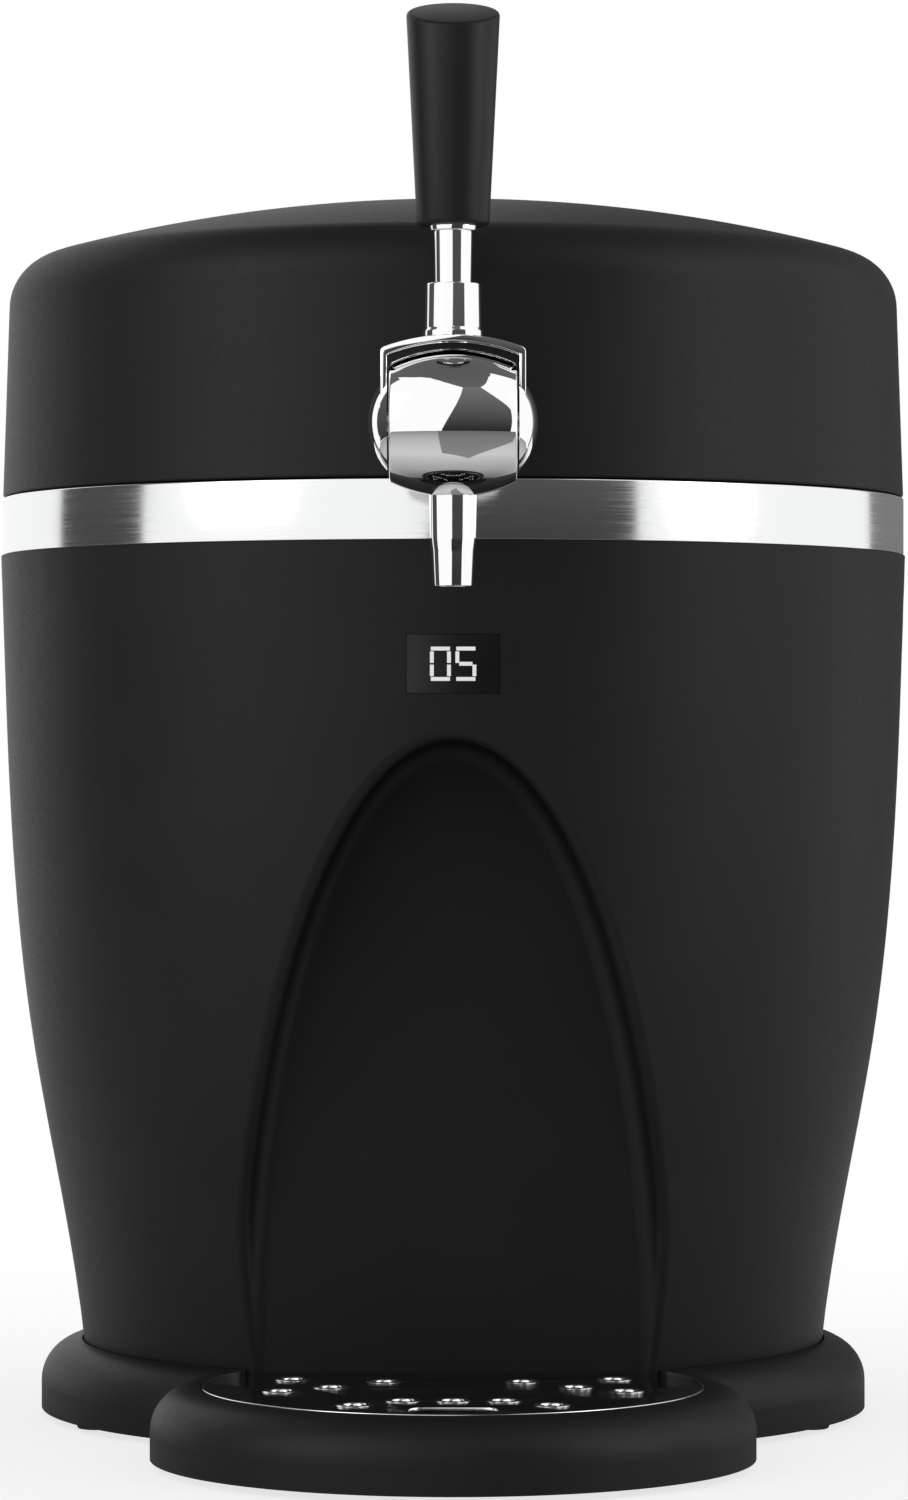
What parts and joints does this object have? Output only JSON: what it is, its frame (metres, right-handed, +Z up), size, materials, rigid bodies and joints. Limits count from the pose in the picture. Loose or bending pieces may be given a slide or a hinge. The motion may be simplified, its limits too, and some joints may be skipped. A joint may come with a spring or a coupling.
{
  "type": "mini keg beer dispenser",
  "caption": "Chilled counter-top dispenser for a mini keg: barrel body, hinged lid carrying a lever tap, niche for the glass, drip tray.",
  "frame": {"origin": "on the table, under the middle of the footprint's bounding box", "axes": "+Z up, -Y towards the person at the tap, +X to that person's right"},
  "size_m": [0.281, 0.3706, 0.4164],
  "materials": {
    "matt_black_abs": "fine satin moulded",
    "black_moulding": "moulded",
    "grey_liner_abs": "satin moulded",
    "polished_trim": "polished",
    "chrome_tap": "mirror",
    "steel_parts": "turned",
    "zinc_screws": "plated",
    "black_hinge_steel": "powder coat",
    "aluminium_can": "drawn",
    "cooling_aluminium": "extruded",
    "insulation_foam": "expanded foam",
    "black_rubber": "matt",
    "gloss_black": "polished",
    "lit_white": "lit segments",
    "circuit_board": "solder mask",
    "ceramic_white": "sintered",
    "probe_brass": "turned",
    "inlet_black": "moulded",
    "clear_hose": "flexible tube",
    "gas_hose_grey": "flexible tube",
    "knob_blue_grey": "moulded"
  },
  "bodies": {
    "cabinet": {"outer_casing": "matt_black_abs", "base_housing": "matt_black_abs", "rear_grille": "matt_black_abs", "switch_bezel": "matt_black_abs", "bottom_cover": "black_moulding", "top_deck": "black_moulding", "fan_frame": "black_moulding", "trim_band": "polished_trim", "hinge_pin": "steel_parts", "cover_screws": "zinc_screws", "fan_screws": "zinc_screws", "hinge_screws": "zinc_screws", "hinge_bracket": "black_hinge_steel", "keg_well": "aluminium_can", "cold_block": "cooling_aluminium", "heat_sink": "cooling_aluminium", "insulation_sleeve": "insulation_foam", "rubber_feet": "black_rubber", "keg_pad": "black_rubber", "display_window": "gloss_black", "display_digits": "lit_white", "power_board": "circuit_board", "display_board": "circuit_board", "peltier_module": "ceramic_white", "sensor_probe": "probe_brass", "power_inlet": "inlet_black"},
    "lid": {"lid_shell": "matt_black_abs", "lid_foam": "insulation_foam", "lid_liner": "grey_liner_abs", "lid_gasket": "black_rubber", "lid_hinge_leaf": "black_hinge_steel", "tap_body": "chrome_tap", "tap_spout": "chrome_tap", "tap_flange": "chrome_tap", "flange_gasket": "black_rubber", "tap_shank": "steel_parts", "shank_nut": "steel_parts", "beer_hose": "clear_hose", "hose_clips": "steel_parts", "keg_connector": "steel_parts", "connector_seal": "black_rubber", "gas_hose": "gas_hose_grey", "regulator_body": "probe_brass", "cartridge_sleeve": "black_moulding", "cartridge_cap": "black_moulding"},
    "lever": {"lever_yoke": "chrome_tap", "pivot_caps": "chrome_tap", "lever_spindle": "steel_parts", "lever_collar": "chrome_tap", "lever_rod": "chrome_tap", "handle_ferrule": "chrome_tap", "tap_handle": "matt_black_abs"},
    "valve": {"valve_stem": "steel_parts"},
    "knob": {"pressure_knob": "knob_blue_grey"},
    "tray": {"drip_tray": "matt_black_abs", "tray_feet": "black_rubber"},
    "grid": {"drip_grid": "gloss_black", "grid_eyelets": "polished_trim"},
    "fan": {"fan_rotor": "black_moulding"},
    "rocker": {"power_rocker": "gloss_black"}
  },
  "joints": [
    {"name": "lid_hinge", "type": "hinge", "parent": "cabinet", "child": "lid", "pos_m": [0, 0.1813, 0.284], "axis": [-1, 0, 0], "range_deg": [0, 80]},
    {"name": "lever_pull", "type": "hinge", "parent": "lid", "child": "lever", "pos_m": [0, -0.1352, 0.297], "axis": [1, 0, 0], "range_deg": [0, 40]},
    {"name": "valve_slide", "type": "slide", "parent": "lid", "child": "valve", "axis": [0, -1, 0], "range_m": [0, 0.00356]},
    {"name": "pressure_turn", "type": "hinge", "parent": "lid", "child": "knob", "pos_m": [0.058, 0.0728, 0.307], "axis": [0, 0, -1], "range_deg": [0, 270]},
    {"name": "tray_slide", "type": "slide", "parent": "cabinet", "child": "tray", "axis": [0, -1, 0], "range_m": [0, 0.13]},
    {"name": "grid_tilt", "type": "hinge", "parent": "tray", "child": "grid", "pos_m": [0, -0.0627, 0.022], "axis": [-1, 0, 0], "range_deg": [0, 60]},
    {"name": "fan_spin", "type": "hinge", "parent": "cabinet", "child": "fan", "pos_m": [0, 0.1563, 0.192], "axis": [0, 1, 0], "continuous": true},
    {"name": "rocker_press", "type": "hinge", "parent": "cabinet", "child": "rocker", "pos_m": [0.026, 0.1553, 0.06], "axis": [-1, 0, 0], "range_deg": [0, 12]}
  ],
  "couplings": [
    {"joint": "valve_slide", "follows": "lever_pull", "m_per_rad": 0.005064}
  ]
}
